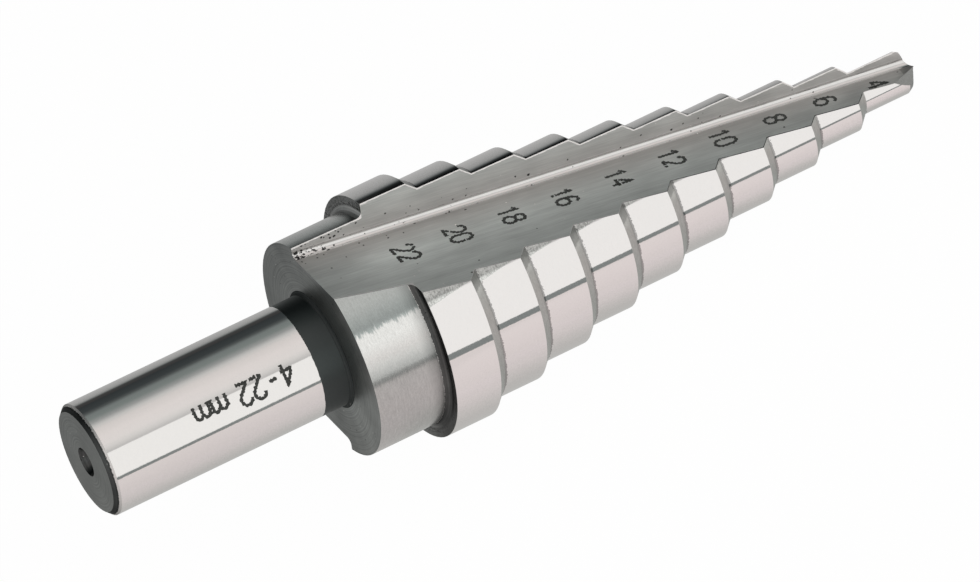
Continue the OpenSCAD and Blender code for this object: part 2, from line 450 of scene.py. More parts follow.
# where a point is on the drill, in millimetres; both flutes count alike
def makeDrillPlace(d, m):
    values = ["Radius", "Turn", "Height", "Along", "FromRoot", "HeelGap", "CutGap", "BroadDepth", "LandStart"]
    tree, _, out = startGroup("drillPlace", {}, {"Place": (0, 0, 0), "Flute": (0, 0, 0), **dict.fromkeys(values, 0.0)})
    coords = addNode(tree, "ShaderNodeTexCoord").outputs["Object"]
    stood = vectorCalc(tree, "SUBTRACT", coords, placeDrill.translation)
    place = combine(tree, *(dot(tree, stood, layDown[:, k] * 1000) for k in range(3)))
    x, y, z = separate(tree, place)
    nearX, nearY = calc(tree, "ABSOLUTE", x), times(tree, y, calc(tree, "SIGN", x))
    radial = combine(tree, nearX, nearY)
    turn = calc(tree, "DEGREES", calc(tree, "ARCTAN2", y, x))
    q = vectorCalc(tree, "SUBTRACT", combine(tree, nearX, nearY, z), m["rootPoint"])
    along, broadOut, narrowOut = (dot(tree, q, m[key]) for key in ("rootLine", "broadOut", "narrowOut"))
    feed(tree, out["Place"], place)
    feed(tree, out["Flute"], combine(tree, broadOut, narrowOut, along))
    feed(tree, out["Radius"], vectorCalc(tree, "LENGTH", radial))
    feed(tree, out["Turn"], calc(tree, "FLOORED_MODULO", turn, 180.0))
    feed(tree, out["Height"], z)
    feed(tree, out["Along"], along)
    feed(tree, out["FromRoot"], calc(tree, "MAXIMUM", broadOut, narrowOut))
    feed(tree, out["BroadDepth"], times(tree, plus(tree, dot(tree, q, m["broad"]), d["rootR"]), -1.0))
    # the outline of the steps at this height
    inSteps = above(tree, z, m["bodyZ"])
    rise = minus(tree, z, m["stepsZ"])
    step = calc(tree, "FLOOR", calc(tree, "DIVIDE", rise, d["stepPitch"]))
    step = calc(tree, "MINIMUM", calc(tree, "MAXIMUM", step, 0.0), d["steps"] - 1.0)
    start = minus(tree, rise, times(tree, step, d["stepPitch"]))
    feed(tree, out["LandStart"], start)
    fall = calc(tree, "MAXIMUM", minus(tree, start, d["stepPitch"] - m["shoulderL"]), 0.0)
    fall = times(tree, fall, below(tree, step, d["steps"] - 1.5))
    outline = minus(tree, minus(tree, m["largestR"], times(tree, step, m["rise"])), fall)
    outline = minus(tree, outline, m["largestR"] - groundR(m["largestR"], d["reliefShift"]))
    outline = fade(tree, inSteps, d["collarD"] / 2, outline)
    aim = np.array([*cosSin(m["parting"]), 0]) * d["reliefShift"]
    for key, sign in (("HeelGap", -1), ("CutGap", 1)):
        shifted = vectorCalc(tree, "SUBTRACT", radial, scaled(tree, aim * sign, inSteps))
        feed(tree, out[key], minus(tree, outline, vectorCalc(tree, "LENGTH", shifted)))
    return tree


# uneven strokes: noise that is stretched differently each way, 0 to 1
grainShape = {"roughness": 0.6, "contrast": (0.25, 0.75)}


def makeGrain(g):
    tree, ins, out = startGroup("steelGrain", {"Place": (0, 0, 0), "Stretch": (1, 1, 1), "Detail": 2.0}, {"Grain": 0.0})
    place = vectorCalc(tree, "MULTIPLY", ins["Place"], ins["Stretch"])
    noise = noiseOf(tree, Vector=place, Scale=1.0, Detail=ins["Detail"], Roughness=g["roughness"])
    feed(tree, out["Grain"], spread(tree, noise[0], *g["contrast"]))
    return tree


# small round marks: a mask of dots, of which only a share is there
fleckShape = {"wobbleScale": 6.0, "wobble": 0.16, "smallest": 0.5, "sharpness": 14.0}


def makeFlecks(f):
    values = {"Place": (0, 0, 0), "Scale": 2.0, "Size": 0.2, "Share": 0.2}
    tree, ins, out = startGroup("steelFlecks", values, {"Mask": 0.0})
    wobble = noiseOf(tree, Vector=ins["Place"], Scale=f["wobbleScale"])["Color"]
    moved = vectorCalc(tree, "ADD", ins["Place"], scaled(tree, wobble, f["wobble"]))
    cells = addNode(tree, "ShaderNodeTexVoronoi")
    feed(tree, cells.inputs["Vector"], moved)
    feed(tree, cells.inputs["Scale"], ins["Scale"])
    tone = addNode(tree, "ShaderNodeSeparateColor", cells.outputs["Color"]).outputs
    size = times(tree, ins["Size"], fade(tree, tone[1], f["smallest"], 1.0))
    spot = calc(tree, "MULTIPLY", minus(tree, size, cells.outputs["Distance"]), f["sharpness"], clamp=True)
    feed(tree, out["Mask"], times(tree, below(tree, tone[0], ins["Share"]), spot))
    return tree


drillPlace = makeDrillPlace(drill, marks)
steelGrain = makeGrain(grainShape)
steelFlecks = makeFlecks(fleckShape)


def grainOf(tree, place, stretch, detail=2.0):
    return useGroup(tree, steelGrain, Place=place, Stretch=stretch, Detail=detail)["Grain"]


def flecksOf(tree, place, scale, size, share):
    return useGroup(tree, steelFlecks, Place=place, Scale=scale, Size=size, Share=share)["Mask"]


def newMaterial(name):
    material = bpy.data.materials.new(name)
    material.use_nodes = True
    return material, material.node_tree, material.node_tree.nodes["Principled BSDF"]


def newSteel(name, look):
    material, tree, shader = newMaterial(name)
    tint, brushed = look.get("tint", 1.0), look.get("brushed", 0.0)
    shader.inputs["Metallic"].default_value = 1.0
    shader.inputs["Roughness"].default_value = look["roughness"]
    shader.inputs["Anisotropic"].default_value = brushed
    shader.inputs["Specular Tint"].default_value = (tint, tint, tint, 1)
    if brushed:
        along = addNode(tree, "ShaderNodeVectorTransform", axisDir, vector_type="VECTOR",
                        convert_from="OBJECT", convert_to="WORLD")
        feed(tree, shader.inputs["Tangent"], along.outputs[0])
    return material, tree, shader, useGroup(tree, drillPlace)


def putFinish(tree, shader, colour, height, depth):
    bump = addNode(tree, "ShaderNodeBump")
    bump.inputs["Distance"].default_value = depth / 1000
    feed(tree, bump.inputs["Height"], height)
    feed(tree, shader.inputs["Base Color"], colour)
    feed(tree, shader.inputs["Normal"], bump.outputs[0])


# in the looks below, four numbers are a spread: from, to, and the values at these two;
# three beside a grain's name are its strokes in each millimetre across, across and along

# ground surfaces: shank, lands, collar and shoulders; the strokes run around the axis
groundLook = {
    "shank": {"colour": (0.8, 0.79, 0.78), "roughness": 0.08, "brushed": 0.8, "bump": 0.0008,
              "stroke": (1.6, 1.6, 5.0), "strokeShade": 0.012, "fine": (6.0, 6.0, 9.0), "fineShade": 0.012},
    "land": {"colour": (0.8, 0.785, 0.78), "roughness": 0.06, "brushed": 0.8, "bump": 0.0005,
             "stroke": (1.6, 1.6, 5.0), "strokeShade": 0.01, "fine": (6.0, 6.0, 9.0), "fineShade": 0.01},
    "collar": {"colour": (0.79, 0.795, 0.78), "roughness": 0.22, "brushed": 0.9, "bump": 0.002,
               "stroke": (1.2, 1.2, 6.0), "strokeShade": 0.1, "fine": (5.0, 5.0, 9.0), "fineShade": 0.08},
    "shoulder": {"colour": (0.5, 0.525, 0.505), "roughness": 0.33, "bump": 0.001,
                 "stroke": (2.0, 2.0, 6.0), "strokeShade": 0.14, "fine": (7.0, 7.0, 9.0), "fineShade": 0.1},
    "fineBump": 0.4, "ragged": (0.4, 1.6, -0.08, 0.08),
    # painted shade: the shank is painted near black close to the collar, in the corner where it meets the collar's rear
    # face
    "neckFrom": 19.72, "neckRagged": 0.3, "neckShadeColour": (0.095, 0.108, 0.108), "neckRoughness": 0.55,
    # painted shade: a darker ragged band in the corner where a land starts, but not on the first land
    "landStart": 0.14, "landStartShade": 0.45,
    # the lower part of shank and lands is mottled, by degrees from the flute plane
    "mottle": (8.0, 8.0, 8.0), "mottleTurn": (92.0, 125.0, 0.0, 0.17),
    # painted shade: a darker, grainy wedge runs along the heel from the rear of each large land, where the land stops
    # mirroring the bright band
    "wedgeLength": 4.5, "wedgeEnd": 61.0, "wedgeRagged": 0.7, "wedgeShadeColour": (0.57, 0.58, 0.565),
    "wedgeGrain": (0.5, 1.4, 0.74, 1.26), "heelSide": 90.0,
    # painted shade and highlight on the shoulders: darkest in the corner at the heel, then a lighter patch beyond;
    # millimetres from the broad wall, shade
    "notchShadeAndHighlight": [(0, 0.55), (0.25, 0.6), (0.5, 0.7), (0.85, 0.76), (0.95, 1.15), (1.2, 1.12), (1.4, 1.0), (2, 1.0)],
    "notchTurn": (90.0, 92.0, 0.0, 2.0), "notchHeight": (50.0, 66.0, 0.0, 1.5),
    # painted highlight: the collar's colour is full only in the stretch where it mirrors the bright band, and lower to
    # both sides; degrees from the flute plane, factor
    "collarPaintedHighlight": [(0, 0.73, 0.76, 0.76), (48, 0.65, 0.7, 0.7), (54, 0.57, 0.62, 0.62), (61.2, 0.54, 0.59, 0.59),
                   (63.2, 1.0), (69, 1.0), (72, 0.95, 0.94, 0.94), (76, 0.86, 0.84, 0.84), (80, 0.76),
                   (84, 0.6, 0.61, 0.61), (87, 0.57, 0.58, 0.58), (91, 0.64, 0.65, 0.65), (104, 0.68),
                   (120, 0.68), (136, 0.73), (150, 0.78), (180, 0.73, 0.76, 0.76)],
    # painted shade: the collar darkens towards its front end, in the corner under the largest step
    "collarSway": 2.0, "collarEnd": 27.2, "collarEndShade": 0.62, "collarEndSway": 0.2,
}


def groundSteel(part):
    g, look = groundLook, groundLook[part]
    material, tree, shader, at = newSteel(part + "Steel", look)
    stroke = grainOf(tree, at["Place"], look["stroke"])
    fine = grainOf(tree, at["Place"], look["fine"], 1.0)
    both = plus(tree, fine, stroke)
    ragged = spread(tree, both, *g["ragged"])
    shade = fade(tree, stroke, 1 - look["strokeShade"], 1 + look["strokeShade"] / 2)
    shade = times(tree, shade, fade(tree, fine, 1 - look["fineShade"], 1 + look["fineShade"] / 2))
    colour = look["colour"]
    if part in ("land", "shank"):
        mottle = minus(tree, grainOf(tree, at["Place"], g["mottle"]), 0.5)
        mottle = times(tree, mottle, spread(tree, at["Turn"], *g["mottleTurn"]))
        shade = times(tree, shade, plus(tree, mottle, 1.0))
    if part == "land":
        # painted shade in the corner where a land starts
        start = below(tree, plus(tree, at["LandStart"], ragged), g["landStart"])
        start = times(tree, start, above(tree, at["Height"], marks["stepsZ"] + 1))
        shade = times(tree, shade, fade(tree, start, 1.0, g["landStartShade"]))
        # painted shade: the darker wedge along the heel
        size = spread(tree, at["Height"], marks["bodyZ"], g["wedgeEnd"], 1.0, 0.0)
        reach = minus(tree, size, calc(tree, "DIVIDE", at["LandStart"], g["wedgeLength"]))
        wedge = below(tree, at["BroadDepth"], plus(tree, reach, times(tree, ragged, g["wedgeRagged"])))
        wedge = times(tree, wedge, below(tree, at["Turn"], g["heelSide"]))
        shadedWedge = scaled(tree, g["wedgeShadeColour"], spread(tree, both, *g["wedgeGrain"]))
        colour = blendColour(tree, wedge, colour, shadedWedge)
    if part == "shoulder":
        # painted shade in the corner at the heel, and a painted highlight beside it
        near = plus(tree, plus(tree, at["BroadDepth"], ragged), spread(tree, at["Turn"], *g["notchTurn"]))
        near = plus(tree, near, spread(tree, at["Height"], *g["notchHeight"]))
        shade = times(tree, shade, rampOf(tree, near, 0.0, 2.0, g["notchShadeAndHighlight"]))
    if part == "collar":
        # painted highlight: a bright stretch around the collar
        turn = plus(tree, at["Turn"], fade(tree, stroke, -g["collarSway"], g["collarSway"]))
        colour = vectorCalc(tree, "MULTIPLY", colour, rampOf(tree, turn, 0.0, 180.0, g["collarPaintedHighlight"]))
        # painted shade towards the collar's front end
        front = plus(tree, at["Height"], fade(tree, fine, -g["collarEndSway"], g["collarEndSway"]))
        front = spread(tree, front, g["collarEnd"], marks["bodyZ"] - drill["collarFillet"], 1.0, g["collarEndShade"])
        shade = times(tree, shade, front)
    if part == "shank":
        # painted shade: the shank near the collar is blended to near black
        neck = above(tree, plus(tree, at["Height"], times(tree, ragged, g["neckRagged"])), g["neckFrom"])
        colour = blendColour(tree, neck, colour, g["neckShadeColour"])
        feed(tree, shader.inputs["Roughness"], fade(tree, neck, look["roughness"], g["neckRoughness"]))
    height = plus(tree, stroke, times(tree, fine, g["fineBump"]))
    putFinish(tree, shader, scaled(tree, colour, shade), height, look["bump"])
    return material


# turned faces, given dark colours: the shank's end, the rear faces, the necks
turnedLook = {
    "face": {"light": (0.25, 0.265, 0.26), "dark": (0.13, 0.14, 0.138), "roughness": 0.42, "flecks": 0.08},
    "rear": {"light": (0.28, 0.295, 0.29), "dark": (0.13, 0.14, 0.138), "roughness": 0.42, "tint": 0.95,
             "paintedSideShade": 1.35, "pits": 0.05, "flecks": 0.06},
    "pitted": {"light": (0.27, 0.28, 0.275), "dark": (0.12, 0.125, 0.125), "roughness": 0.42, "tint": 0.9,
               "paintedSideShade": 0.3, "pits": 0.7, "flecks": 0.2},
    # painted shade: the shank's fillet is near black, in the corner under the collar
    "neck": {"light": (0.09, 0.1, 0.1), "dark": (0.06, 0.068, 0.068), "roughness": 0.7, "tint": 0.5, "flecks": 0.1},
    "chamfer": {"light": (0.1, 0.105, 0.105), "dark": (0.04, 0.045, 0.045), "roughness": 0.4, "tint": 0.4,
                "flecks": 0.25},
    "fillet": {"light": (0.62, 0.63, 0.62), "dark": (0.26, 0.27, 0.27), "roughness": 0.4, "tint": 0.6,
               "paintedSideShade": 0.2, "pits": 0.4, "flecks": 0.2},
    # painted shade: the centre hole is near black inside
    "hole": {"light": (0.09, 0.095, 0.095), "dark": (0.015, 0.015, 0.015), "roughness": 0.3, "tint": 0.6,
             "pits": 0.3, "flecks": 0.5},
    "cloud": (0.25, 0.25, 0.25), "grit": (6, 6, 6), "gritShare": 0.25, "bump": 0.004,
    "ringsPerMm": 7.0, "rings": (0.3, 0.7, 0.78, 1.22),
    # painted shade: the rear faces and the fillet are lighter or darker towards one side, as light falls; that side in
    # degrees from the flute plane, and how soon it is reached
    "side": 90.0, "sideReach": 0.55,
    "pitScale": 3.0, "pitSize": 0.25, "pit": (0.01, 0.01, 0.01),
    "fleckScale": 2.4, "fleckSize": 0.16, "fleck": (0.8, 0.8, 0.78),
    # torn crumbs: millimetres from the axis, and how much stays whole there
    "crumb": (4.5, 4.5, 4.5), "torn": (10.0, 10.95, 0.54, 0.72),
    # heights where the bright strips of chamfer and fillet start and end
    "bright": (0.72, 0.71, 0.7), "ragged": 0.045, "chamferLight": 0.34, "filletLight": 28.37,
}


def turnedSteel(part):
    t, look = turnedLook, turnedLook[part]
    material, tree, shader, at = newSteel(part + "Turned", look)
    cloud = grainOf(tree, at["Place"], t["cloud"], 3.0)
    grit = grainOf(tree, at["Place"], t["grit"])
    rings = noiseOf(tree, "1D", W=times(tree, at["Radius"], t["ringsPerMm"]), Scale=1.0, Detail=2.0)[0]
    tone = plus(tree, times(tree, cloud, 1 - t["gritShare"]), times(tree, grit, t["gritShare"]))
    colour = blendColour(tree, tone, look["dark"], look["light"])
    colour = scaled(tree, colour, spread(tree, rings, *t["rings"]))
    # painted shade: one side of the face made lighter or darker
    if "paintedSideShade" in look:
        side = calc(tree, "DIVIDE", dot(tree, at["Place"], (*cosSin(t["side"]), 0)), at["Radius"])
        colour = scaled(tree, colour, spread(tree, side, 0.0, t["sideReach"], 1.0, look["paintedSideShade"]))
    if "pits" in look:
        pits = flecksOf(tree, at["Place"], t["pitScale"], t["pitSize"], look["pits"])
        colour = blendColour(tree, pits, colour, t["pit"])
    if part == "pitted":
        crumb = grainOf(tree, at["Place"], t["crumb"])
        crumb = above(tree, crumb, spread(tree, at["Radius"], *t["torn"]))
        colour = blendColour(tree, crumb, colour, t["pit"])
    flecks = flecksOf(tree, at["Place"], t["fleckScale"], t["fleckSize"], look["flecks"])
    colour = blendColour(tree, flecks, colour, t["fleck"])
    edge = plus(tree, at["Height"], fade(tree, grit, -t["ragged"], t["ragged"]))
    if part == "chamfer":
        colour = blendColour(tree, above(tree, edge, t["chamferLight"]), colour, t["bright"])
    if part == "fillet":
        colour = blendColour(tree, below(tree, edge, t["filletLight"]), colour, t["bright"])
    putFinish(tree, shader, colour, plus(tree, rings, grit), t["bump"])
    return material


# flute walls: lines run along the flute; the broad wall carries the numerals
wallLook = {
    # painted shade: the broad wall is darker towards the root, deep in the flute
    "broad": {"nearRoot": (0.46, 0.452, 0.442), "nearEdge": (0.76, 0.785, 0.77), "width": 3.6, "roughness": 0.55},
    "narrow": {"nearRoot": (0.66, 0.66, 0.65), "nearEdge": (0.67, 0.685, 0.675), "width": 3.0, "roughness": 0.5},
    "rootBlend": 0.3, "wide": (2.5, 2.5, 0.08), "thin": (11.0, 11.0, 0.5), "cloud": (0.5, 0.5, 0.2),
    "lineShade": 0.16, "cloudShade": 0.1, "bump": 0.002,
    # pits thin out away from the root and from the collar, and sparks lie here and there
    "pitShare": (0.4, 1.6, 0.5, 0.015), "pitFade": (2.0, 12.0, 1.0, 0.15), "pitScale": 2.4, "pitSize": 0.33,
    "pit": (0.06, 0.06, 0.06), "sparkScale": 1.6, "sparkSize": 0.16, "sparkShare": 0.1, "spark": (0.98, 0.96, 0.94),
    # painted highlight: the white line at the cutting edge; and the line at the heel, a painted highlight that turns to
    # painted shade, dark on the small lands
    "ragged": (0.6, 1.3), "edgeLine": 0.16, "edgeHighlight": (0.98, 0.96, 0.95),
    "heelLine": 0.08, "heelDark": (0.1, 0.11, 0.11), "heelHighlight": (0.9, 0.89, 0.88), "heelDarkens": (48.0, 56.0),
    # the broad wall is ground once more near the point
    "regroundFrom": 50.5, "regroundRagged": 0.2, "regroundShade": 0.72,
}


def wallSteel(part):
    w, look = wallLook, wallLook[part]
    material, tree, shader, at = newSteel(part + "WallSteel", look)
    # painted shade: darker towards the root
    out = spread(tree, at["FromRoot"], w["rootBlend"], look["width"])
    wide = grainOf(tree, at["Flute"], w["wide"], 3.0)
    thin = grainOf(tree, at["Flute"], w["thin"])
    cloud = grainOf(tree, at["Flute"], w["cloud"])
    lines = plus(tree, times(tree, wide, 0.5), times(tree, thin, 0.5))
    shade = fade(tree, lines, 1 - w["lineShade"], 1 + w["lineShade"])
    shade = times(tree, shade, fade(tree, cloud, 1 - w["cloudShade"], 1 + w["cloudShade"]))
    colour = scaled(tree, blendColour(tree, out, look["nearRoot"], look["nearEdge"]), shade)
    share = times(tree, spread(tree, at["FromRoot"], *w["pitShare"]), spread(tree, at["Along"], *w["pitFade"]))
    pits = flecksOf(tree, at["Flute"], w["pitScale"], w["pitSize"], share)
    sparks = flecksOf(tree, at["Place"], w["sparkScale"], w["sparkSize"], w["sparkShare"])
    colour = blendColour(tree, pits, colour, w["pit"])
    colour = blendColour(tree, sparks, colour, w["spark"])
    ragged = fade(tree, thin, *w["ragged"])
    if part == "narrow":
        # painted highlight: a white, unmetallic line along the cutting edge
        edge = below(tree, at["CutGap"], times(tree, ragged, w["edgeLine"]))
        colour = blendColour(tree, edge, colour, w["edgeHighlight"])
        feed(tree, shader.inputs["Metallic"], minus(tree, 1.0, edge))
    else:
        fresh = above(tree, plus(tree, at["Along"], times(tree, ragged, w["regroundRagged"])), w["regroundFrom"])
        colour = scaled(tree, colour, fade(tree, fresh, 1.0, w["regroundShade"]))
        # painted highlight along the heel, painted shade on the small lands
        edge = below(tree, at["HeelGap"], times(tree, ragged, w["heelLine"]))
        heel = blendColour(tree, spread(tree, at["Height"], *w["heelDarkens"]), w["heelHighlight"], w["heelDark"])
        colour = blendColour(tree, edge, colour, heel)
    putFinish(tree, shader, colour, minus(tree, lines, pits), w["bump"])
    return material


# the round root of a flute, with torn pits where the cutter ran out at the collar
rootLook = {
    "colour": (0.87, 0.86, 0.85), "roughness": 0.07, "thin": (7.0, 7.0, 1.2), "lines": (0.95, 1.02),
    "thinBump": 0.1, "bump": 0.003,
    # painted shade that narrows the root's bright reflection
    "lower": (0.0, 0.035, 0.82, 1.0),  # darker where it leaves the broad wall
    # by millimetres along the flute: the pits' share and size, and how much stays whole between crumbs
    "pit": (0.03, 0.03, 0.03), "pitScale": 3.2, "pitShare": (-6.5, -1.0, 0.9, 0.08),
    "pitSize": (-6.5, -1.0, 0.62, 0.36), "crumb": (5.0, 5.0, 4.0), "whole": (-6.5, -2.5, 0.45, 1.0),
}


def rootSteel(look):
    material, tree, shader, at = newSteel("fluteRootSteel", look)
    thin = grainOf(tree, at["Flute"], look["thin"], 3.0)
    # painted shade on the side of the root towards the broad wall
    shade = times(tree, fade(tree, thin, *look["lines"]), spread(tree, at["BroadDepth"], *look["lower"]))
    share, size, whole = (spread(tree, at["Along"], *look[key]) for key in ("pitShare", "pitSize", "whole"))
    pits = flecksOf(tree, at["Flute"], look["pitScale"], size, share)
    pits = calc(tree, "MAXIMUM", pits, above(tree, grainOf(tree, at["Place"], look["crumb"]), whole))
    colour = blendColour(tree, pits, scaled(tree, look["colour"], shade), look["pit"])
    putFinish(tree, shader, colour, minus(tree, times(tree, thin, look["thinBump"]), pits), look["bump"])
    return material


# the point: its flanks and its thinned faces
pointLook = {
    "point": {"colour": (0.36, 0.375, 0.37), "roughness": 0.32},
    "pointSide": {"colour": (0.75, 0.75, 0.74), "roughness": 0.45},
    "lines": (2.0, 9.0, 9.0), "lineShade": (0.8, 1.15), "bump": 0.001,
}


def pointSteel(part):
    p, look = pointLook, pointLook[part]
    material, tree, shader, at = newSteel(part + "Steel", look)
    lines = grainOf(tree, at["Place"], p["lines"], 3.0)
    putFinish(tree, shader, scaled(tree, look["colour"], fade(tree, lines, *p["lineShade"])), lines, p["bump"])
    return material


finishes = {part: groundSteel(part) for part in ("shank", "land", "shoulder", "collar")}
for part in ("face", "rear", "pitted", "neck", "chamfer", "fillet", "hole"):
    finishes[part] = turnedSteel(part)
for part in ("broad", "narrow"):
    finishes[part] = wallSteel(part)
finishes["root"] = rootSteel(rootLook)
for part in ("point", "pointSide"):
    finishes[part] = pointSteel(part)
print("finishes made")


def placePiece(name, mesh):
    piece = addObject(name, mesh)
    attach(piece, "root")
    return piece


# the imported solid, with a finish and true normals on each of its faces
def makeBody(fit):
    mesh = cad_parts["step_drill"].data.copy()
    mesh.name = "drillBody"
    mesh.materials.clear()
    mesh.transform(placeDrill.inverted())
    b = bmesh.new()
    b.from_mesh(mesh)
    bmesh.ops.remove_doubles(b, verts=b.verts, dist=fit["weld"])
    bmesh.ops.triangulate(b, faces=b.faces)
    b.to_mesh(mesh)
    b.free()
    names, normals = sortFaces(mesh, drillSurfaces(drill, marks), fit)
    order = list(finishes)
    for key in order:
        mesh.materials.append(finishes[key])
    mesh.polygons.foreach_set("material_index", [order.index(n) for n in names])
    mesh.polygons.foreach_set("use_smooth", [True] * len(mesh.polygons))
    mesh.transform(placeDrill)
    mesh.normals_split_custom_set([tuple(n) for n in normals @ layDown.T])
    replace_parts(placePiece("drillBody", mesh), "step_drill")


makeBody(bodyFit)
print("body made")


# etched marks: single-line figures, drawn as thin flat strokes on the steel, in millimetres
etched = {
    "line": 0.29, "unevenness": 0.25, "wander": 0.025, "gaps": 0.012, "lift": 0.004, "seed": 7,
    # a stroke is cut into short lengths, and swells at the dots that it is made of
    "cut": 0.09, "dot": 0.3, "thinnest": 0.74, "swell": 0.5,
    "colour": (0.03, 0.032, 0.03), "roughness": 0.55, "specular": 0.25, "grit": (9, 9, 9), "gritShade": (0.5, 2.6),
    "bump": 0.004, "mWidth": 1.35,
    # figures on the broad wall: text, then millimetres along the root and out from it
    "wallHeight": 1.85, "wallWidth": 0.92, "wallGap": 0.3,
    "wall": [("22", 1.86, 3.5), ("20", 6.8, 3.22), ("18", 11.89, 2.94), ("16", 16.93, 2.8), ("14", 22.13, 2.57),
             ("12", 27.36, 2.16), ("10", 32.46, 1.67), ("8", 37.67, 1.4), ("6", 42.61, 1.12), ("4", 47.64, 1.06)],
    # figures on the shank: text, then height of their middle, and their angle
    "shankHeight": 1.88, "shankWidth": 1.0, "shankGap": 0.28,
    "shank": [("4", 17.19, 66.7), ("-", 15.84, 66.8), ("22", 13.87, 66.9), ("mm", 10.09, 68.0)],
}
figures = {
    "0": [[(.27, 0), (0, .22), (0, .78), (.27, 1), (.73, 1), (1, .78), (1, .22), (.73, 0), (.27, 0)]],
    "1": [[(.15, .76), (.55, 1), (.55, 0)]],
    "2": [[(.02, .74), (.08, .88), (.3, 1), (.68, 1), (.93, .88), (1, .7), (.88, .52), (0, 0), (1, 0)]],
    "4": [[(.74, 0), (.74, 1), (0, .3), (1, .3)]],
    "6": [[(.92, .86), (.72, 1), (.36, 1), (.08, .78), (0, .5), (0, .2), (.24, 0), (.74, 0), (1, .2), (1, .4),
           (.76, .58), (.26, .58), (.02, .42)]],
    "8": [[(.3, .54), (.06, .68), (.06, .86), (.3, 1), (.7, 1), (.94, .86), (.94, .68), (.7, .54), (.3, .54), (0, .36),
           (0, .16), (.28, 0), (.72, 0), (1, .16), (1, .36), (.7, .54)]],
    "-": [[(.1, .46), (.8, .46)]],
    "m": [[(0, 0), (0, .62)], [(0, .46), (.16, .62), (.36, .62), (.5, .5), (.5, 0)],
          [(.5, .46), (.66, .62), (.86, .62), (1, .5), (1, 0)]],
}


def figureLines(text, width, height, gap, mWidth):
    # strokes in millimetres, reading along the first axis, middle at the origin
    widths = [width * (mWidth if c == "m" else 1.0) for c in text]
    left = -(sum(widths) + gap * (len(text) - 1)) / 2
    lines = []
    for c, w in zip(text, widths):
        for stroke in figures[c]:
            lines.append([np.array([left + x * w, (y - 0.5) * height]) for x, y in stroke])
        left += w + gap
    return lines


def etchStroke(b, points, toDrill, e, chance):
    # one flat ribbon with uneven edges, cut into short lengths
    path = [points[0]]
    for p, q in zip(points, points[1:]):
        n = max(1, int(np.linalg.norm(q - p) / e["cut"]))
        path += [p + (q - p) * k / n for k in range(1, n + 1)]
    rows, run = [], chance.uniform(0, e["dot"])
    for k, p in enumerate(path):
        run += e["cut"]
        swell = e["thinnest"] + e["swell"] * math.cos(math.pi * run / e["dot"]) ** 2
        ahead = unit(path[min(k + 1, len(path) - 1)] - path[max(k - 1, 0)] + 1e-9)
        across = np.array([-ahead[1], ahead[0]])
        reach = e["line"] / 2 * swell
        left, right = (reach * (1 + chance.uniform(-e["unevenness"], e["unevenness"])) for _ in range(2))
        p = p + across * chance.uniform(-e["wander"], e["wander"])
        rows.append([b.verts.new(toDrill(p + across * left)), b.verts.new(toDrill(p - across * right))])
    for (a, c), (g, h) in zip(rows, rows[1:]):
        if chance.random() > e["gaps"]:
            b.faces.new((a, c, h, g))


def etchedMaterial(e):
    material, tree, shader = newMaterial("etchedMark")
    shader.inputs["Roughness"].default_value = e["roughness"]
    shader.inputs["Specular IOR Level"].default_value = e["specular"]
    grit = grainOf(tree, useGroup(tree, drillPlace)["Place"], e["grit"])
    putFinish(tree, shader, scaled(tree, e["colour"], fade(tree, grit, *e["gritShade"])), grit, e["bump"])
    return material


def figurePiece(name, b, material):
    mesh = bpy.data.meshes.new(name)
    b.to_mesh(mesh)
    b.free()
    mesh.materials.append(material)
    mesh.transform(placeDrill)
    placePiece(name, mesh)


def makeEtched(e, d, m):
    chance = random.Random(e["seed"])
    material = etchedMaterial(e)
    b = bmesh.new()
    for half in (0, 180):
        spin = turnZ(half)
        start = m["rootPoint"] - (d["rootR"] - e["lift"]) * m["broad"]
        for text, along, out in e["wall"]:
            def onWall(p, along=along, out=out):
                place = start + m["rootLine"] * (along + p[1]) + m["broadOut"] * (out + p[0])
                return tuple(spin @ place / 1000)
            for line in figureLines(text, e["wallWidth"], e["wallHeight"], e["wallGap"], e["mWidth"]):
                etchStroke(b, line, onWall, e, chance)
    figurePiece("wallFigures", b, material)
    b = bmesh.new()
    r = d["shankD"] / 2 + e["lift"]
    for text, height, turn in e["shank"]:
        def onShank(p, height=height, turn=turn):
            t = math.radians(turn) + p[1] / r
            return (r * math.cos(t) / 1000, r * math.sin(t) / 1000, (height - p[0]) / 1000)
        for line in figureLines(text, e["shankWidth"], e["shankHeight"], e["shankGap"], e["mWidth"]):
            etchStroke(b, line, onShank, e, chance)
    figurePiece("shankFigures", b, material)


makeEtched(etched, drill, marks)
print("etched marks made")


